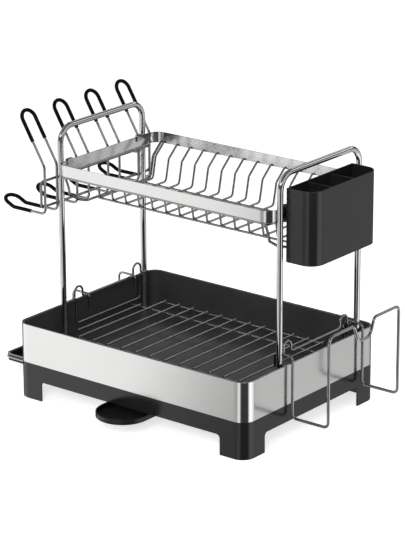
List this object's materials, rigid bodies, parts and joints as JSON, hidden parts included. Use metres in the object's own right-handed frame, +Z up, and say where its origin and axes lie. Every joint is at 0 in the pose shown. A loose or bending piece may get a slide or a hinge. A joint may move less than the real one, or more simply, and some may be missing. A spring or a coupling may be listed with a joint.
{
  "type": "dish drying rack",
  "caption": "Two-tier dish drying rack: tray with swivel spout, chrome wire tiers in tube frames, cup hooks, utensil cup, board holder and side drip tray.",
  "frame": {"origin": "on the table under the centre of the base's footprint", "axes": "+Z up, +X to the right along the long side, +Y to the back; the spout points to -Y"},
  "size_m": [0.5948, 0.3765, 0.4269],
  "materials": {
    "black_plastic": "matte",
    "brushed_steel": "brushed",
    "chrome_wire": "polished",
    "chrome_tube": "polished",
    "black_coating": "satin"
  },
  "bodies": {
    "base": {"base_skirt": "black_plastic", "steel_band": "brushed_steel", "drip_tray": "black_plastic"},
    "spout": {"drain_spout": "black_plastic"},
    "rack": {"grid_long_wires": "chrome_wire", "grid_cross_wires": "chrome_wire", "side_rail_left": "chrome_wire", "side_rail_right": "chrome_wire", "side_drop_left": "chrome_wire", "side_drop_right": "chrome_wire", "tube_frame_left": "chrome_tube", "tube_frame_right": "chrome_tube", "upper_band": "brushed_steel", "upper_rail_wire": "chrome_wire", "dish_wires": "chrome_wire", "upper_cross_wires": "chrome_wire", "upper_end_wire_left": "chrome_wire", "upper_end_wire_right": "chrome_wire"},
    "cup_holder": {"cup_hook_1": "chrome_wire", "cup_hook_2": "chrome_wire", "cup_hook_3": "chrome_wire", "cup_hook_4": "chrome_wire", "cup_tips_upper": "black_coating", "cup_tips_lower": "black_coating", "cup_frame": "chrome_wire", "cup_hangers": "brushed_steel"},
    "utensil_holder": {"utensil_cup": "black_plastic", "utensil_clips": "black_plastic"},
    "board_holder": {"board_holder_wire": "chrome_wire"},
    "side_tray": {"side_tray_rings": "chrome_wire", "side_tray_pan": "black_plastic", "side_tray_hooks": "chrome_wire"}
  },
  "joints": [
    {"name": "spout_swivel", "type": "hinge", "parent": "base", "child": "spout", "pos_m": [0, -0.095, 0.03], "axis": [0, 0, 1], "continuous": true},
    {"name": "rack_lift", "type": "slide", "parent": "base", "child": "rack", "axis": [0, 0, 1], "range_m": [0, 0.06]},
    {"name": "cup_holder_lift", "type": "slide", "parent": "rack", "child": "cup_holder", "axis": [0, 0, 1], "range_m": [0, 0.03]},
    {"name": "utensil_holder_lift", "type": "slide", "parent": "rack", "child": "utensil_holder", "axis": [0, 0, 1], "range_m": [0, 0.03]},
    {"name": "board_holder_lift", "type": "slide", "parent": "rack", "child": "board_holder", "axis": [0, 0, 1], "range_m": [0, 0.04]},
    {"name": "side_tray_lift", "type": "slide", "parent": "rack", "child": "side_tray", "axis": [0, 0, 1], "range_m": [0, 0.04]}
  ]
}
